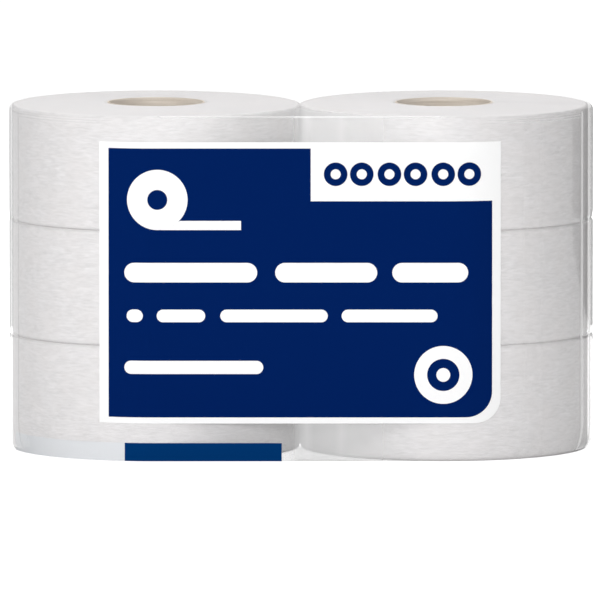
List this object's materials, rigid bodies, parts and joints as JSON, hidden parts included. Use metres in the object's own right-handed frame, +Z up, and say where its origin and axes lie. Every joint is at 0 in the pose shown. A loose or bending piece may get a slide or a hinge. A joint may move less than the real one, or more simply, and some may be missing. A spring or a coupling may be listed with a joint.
{
  "type": "toilet paper roll pack",
  "caption": "Large toilet paper rolls on cardboard cores, in two stacks side by side, wrapped in clear film with a navy and white label across the front.",
  "frame": {"origin": "middle of the base, where the pack stands", "axes": "+Z up along the rolls' axes, +X along the row of the two stacks, from the left stack to the right one as seen from the printed front, and -Y out of the printed front"},
  "size_m": [0.5016, 0.2517, 0.3004],
  "materials": {
    "tissue": "soft, unglazed tissue",
    "core_board": "spiral-wound grey-brown board",
    "clear_film": "clear glossy polyethylene film",
    "label_white": "smooth coated white",
    "navy_ink": "solid navy print",
    "strip_grey": "light grey print",
    "strip_blue": "dark blue print"
  },
  "bodies": {
    "root": {"paper_roll_left_bottom": "tissue", "paper_roll_left_middle": "tissue", "paper_roll_left_top": "tissue", "paper_roll_right_bottom": "tissue", "paper_roll_right_middle": "tissue", "paper_roll_right_top": "tissue", "cardboard_cores": "core_board", "film_wrap": "clear_film", "front_label": "label_white", "label_print": "navy_ink", "foot_strip_grey": "strip_grey", "foot_strip_blue": "strip_blue"}
  },
  "joints": []
}
